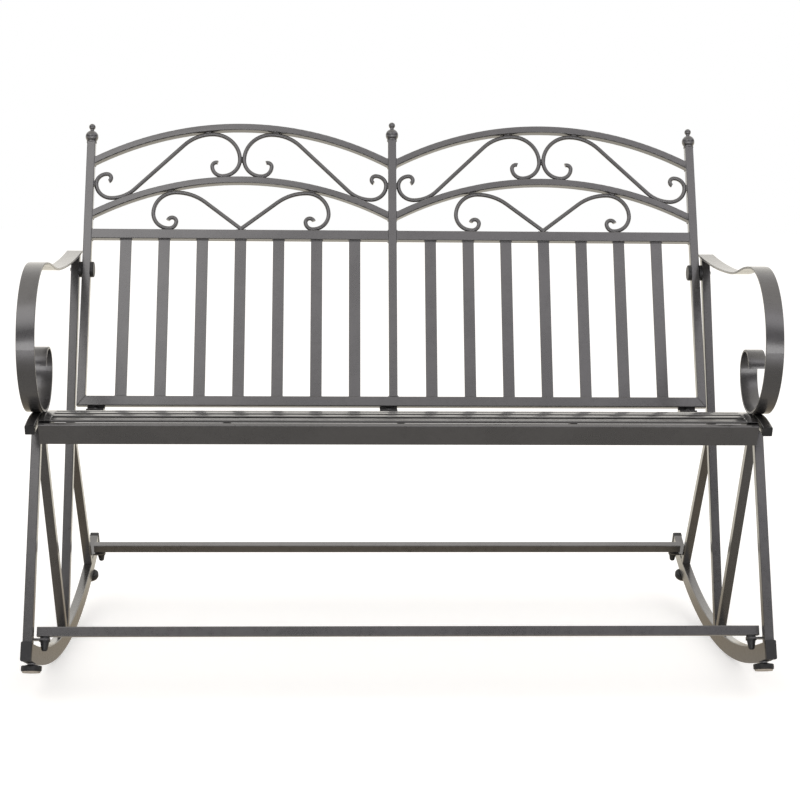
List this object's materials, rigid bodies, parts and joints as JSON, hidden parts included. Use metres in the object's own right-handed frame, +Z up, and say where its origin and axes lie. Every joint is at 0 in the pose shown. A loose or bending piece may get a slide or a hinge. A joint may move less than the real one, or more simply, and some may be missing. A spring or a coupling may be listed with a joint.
{
  "type": "outdoor rocking bench",
  "caption": "Steel garden rocking bench with a slatted seat, a leaning slatted back with arches and scrolls, scrolled armrests and curved runners.",
  "frame": {"origin": "on the floor, under the middle of the bench's overall box", "axes": "+X to the right as seen by someone in front of the bench, +Y from the front to the back, +Z up"},
  "size_m": [1.254, 0.8067, 0.9676],
  "materials": {
    "frame_paint": "dark pewter-grey powder coat, satin with a fine grain",
    "black_plastic": "black moulded plastic",
    "foot_pad": "light grey-brown pad",
    "fixings": "dull zinc-plated steel"
  },
  "bodies": {
    "frame": {"left_runner": "frame_paint", "right_runner": "frame_paint", "runner_end_caps": "black_plastic", "foot_inserts": "fixings", "left_front_leg": "frame_paint", "right_front_leg": "frame_paint", "left_front_brace": "frame_paint", "right_front_brace": "frame_paint", "left_rear_leg": "frame_paint", "right_rear_leg": "frame_paint", "left_rear_brace": "frame_paint", "right_rear_brace": "frame_paint", "left_seat_bearer": "frame_paint", "right_seat_bearer": "frame_paint", "bearer_end_caps": "black_plastic", "left_armrest": "frame_paint", "right_armrest": "frame_paint", "front_stretcher": "frame_paint", "rear_stretcher": "frame_paint", "stretcher_tabs": "frame_paint", "stretcher_spacers": "black_plastic", "stretcher_bolts": "fixings", "stretcher_inserts": "fixings", "stretcher_bolt_caps": "black_plastic", "seat_front_rail": "frame_paint", "seat_rear_rail": "frame_paint", "seat_side_rails": "frame_paint", "seat_slats": "frame_paint", "seat_supports": "frame_paint", "seat_bolts": "fixings", "seat_spacers": "black_plastic", "seat_cap_nuts": "black_plastic", "left_back_post": "frame_paint", "centre_back_post": "frame_paint", "right_back_post": "frame_paint", "back_bottom_rail": "frame_paint", "back_middle_rails": "frame_paint", "back_slats": "frame_paint", "left_lower_arch": "frame_paint", "right_lower_arch": "frame_paint", "left_upper_arch": "frame_paint", "right_upper_arch": "frame_paint", "upper_scrolls": "frame_paint", "lower_scrolls": "frame_paint", "finials": "frame_paint", "back_brackets": "frame_paint", "bracket_bolts": "fixings", "bracket_nuts": "fixings", "back_bolts": "fixings", "back_discs": "black_plastic", "back_nuts": "fixings"},
    "front_left_stop": {"front_left_foot": "black_plastic", "front_left_pad": "foot_pad"},
    "front_right_stop": {"front_right_foot": "black_plastic", "front_right_pad": "foot_pad"},
    "rear_left_stop": {"rear_left_foot": "black_plastic", "rear_left_pad": "foot_pad"},
    "rear_right_stop": {"rear_right_foot": "black_plastic", "rear_right_pad": "foot_pad"}
  },
  "joints": [
    {"name": "front_left_stop_turn", "type": "hinge", "parent": "frame", "child": "front_left_stop", "pos_m": [-0.608, -0.349, 0.0566], "axis": [0, 0.3366, 0.9416], "continuous": true},
    {"name": "front_right_stop_turn", "type": "hinge", "parent": "frame", "child": "front_right_stop", "pos_m": [0.608, -0.349, 0.0566], "axis": [0, 0.3366, 0.9416], "continuous": true},
    {"name": "rear_left_stop_turn", "type": "hinge", "parent": "frame", "child": "rear_left_stop", "pos_m": [-0.608, 0.31385, 0.06018], "axis": [0, -0.3468, 0.938], "continuous": true},
    {"name": "rear_right_stop_turn", "type": "hinge", "parent": "frame", "child": "rear_right_stop", "pos_m": [0.608, 0.31385, 0.06018], "axis": [0, -0.3468, 0.938], "continuous": true}
  ]
}
